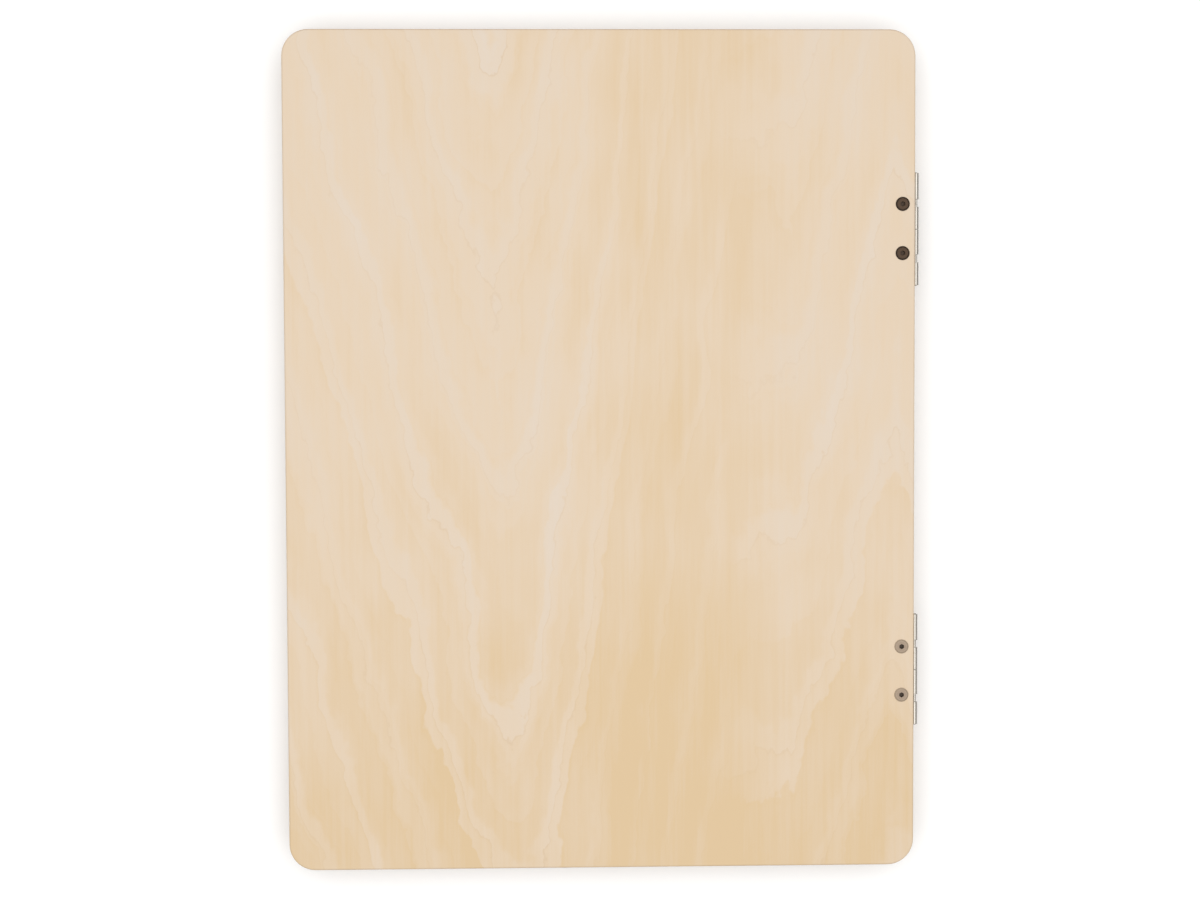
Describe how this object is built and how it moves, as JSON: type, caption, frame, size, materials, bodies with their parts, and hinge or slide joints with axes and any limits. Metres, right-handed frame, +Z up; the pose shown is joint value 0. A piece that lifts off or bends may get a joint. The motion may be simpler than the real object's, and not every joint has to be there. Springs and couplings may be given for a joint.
{
  "type": "light box",
  "caption": "Flat light box for drawing and tracing, in a plywood case with a hinged plywood lid over an opal, edge-lit work surface.",
  "frame": {"origin": "centre of the lid's outline, on the surface that the feet stand on", "axes": "+X along the long side, +Y from the front (opening) edge to the rear (hinged) edge, +Z up"},
  "size_m": [0.48, 0.3631, 0.0278],
  "materials": {
    "lid_plywood": "rotary-cut birch veneer, fine sanded, clear matt finish",
    "case_plywood": "birch plywood, fine sanded, clear matt finish",
    "opal_acrylic": "opal, fine satin",
    "foam_tape": "closed-cell foam",
    "diffuser_film": "milky film",
    "light_guide": "clear acrylic with printed dots",
    "reflector_film": "white reflector film",
    "backing_foam": "EVA foam sheet",
    "led_board": "white solder mask",
    "led": "white LED with a yellow phosphor",
    "circuit_board": "green solder mask",
    "socket_steel": "nickel-plated shell",
    "black_plastic": "moulded",
    "inductor_ferrite": "ferrite",
    "capacitor_ceramic": "ceramic body",
    "plug_nylon": "natural nylon",
    "lead_red": "silicone insulation",
    "lead_black": "silicone insulation",
    "button_plastic": "satin pale grey",
    "nickel": "polished nickel plate",
    "dark_bronze": "dark bronze finish",
    "dull_nickel": "dull brushed finish",
    "screw_steel": "zinc plated",
    "catch_steel": "nickel plated",
    "foot_rubber": "matt black",
    "bumper_silicone": "clear silicone"
  },
  "bodies": {
    "case": {"backing_foam": "backing_foam", "board_screws": "screw_steel", "board_spacers": "plug_nylon", "bottom_panel": "case_plywood", "bottom_screws": "screw_steel", "capacitors": "capacitor_ceramic", "catch_disc_left": "catch_steel", "catch_disc_right": "catch_steel", "control_board": "circuit_board", "diffuser_sheet": "diffuser_film", "driver_chip": "black_plastic", "foot_front_left": "foot_rubber", "foot_front_right": "foot_rubber", "foot_rear_left": "foot_rubber", "foot_rear_right": "foot_rubber", "foot_screws": "screw_steel", "hinge_leaf_case_left": "nickel", "hinge_leaf_case_right": "nickel", "hinge_pin_left": "nickel", "hinge_pin_right": "nickel", "hinge_screws": "screw_steel", "lead_front_black": "lead_black", "lead_front_red": "lead_red", "lead_plugs": "plug_nylon", "lead_rear_black": "lead_black", "lead_rear_red": "lead_red", "led_board_front": "led_board", "led_board_rear": "led_board", "leds_front": "led", "leds_rear": "led", "light_guide_plate": "light_guide", "main_frame": "case_plywood", "power_inductor": "inductor_ferrite", "reflector_sheet": "reflector_film", "surface_tape": "foam_tape", "switch_body": "black_plastic", "top_frame": "case_plywood", "usb_shell": "socket_steel", "usb_tongue": "black_plastic", "work_surface": "opal_acrylic"},
    "lid": {"lid_panel": "lid_plywood", "hinge_leaf_lid_left": "nickel", "hinge_leaf_lid_right": "nickel", "lid_posts_left": "dark_bronze", "lid_posts_right": "dull_nickel", "lid_screws": "screw_steel", "lid_magnet_left": "catch_steel", "lid_magnet_right": "catch_steel", "lid_bumper_left": "bumper_silicone", "lid_bumper_right": "bumper_silicone"},
    "button": {"button_cap": "button_plastic", "switch_plunger": "button_plastic"}
  },
  "joints": [
    {"name": "lid_hinge", "type": "hinge", "parent": "case", "child": "lid", "pos_m": [0, 0.1814, 0.021], "axis": [-1, 0, 0], "range_deg": [0, 180]},
    {"name": "button_press", "type": "slide", "parent": "case", "child": "button", "axis": [0, 0, 1], "range_m": [-0.0005, 0], "stiffness_N_per_m": 300}
  ]
}
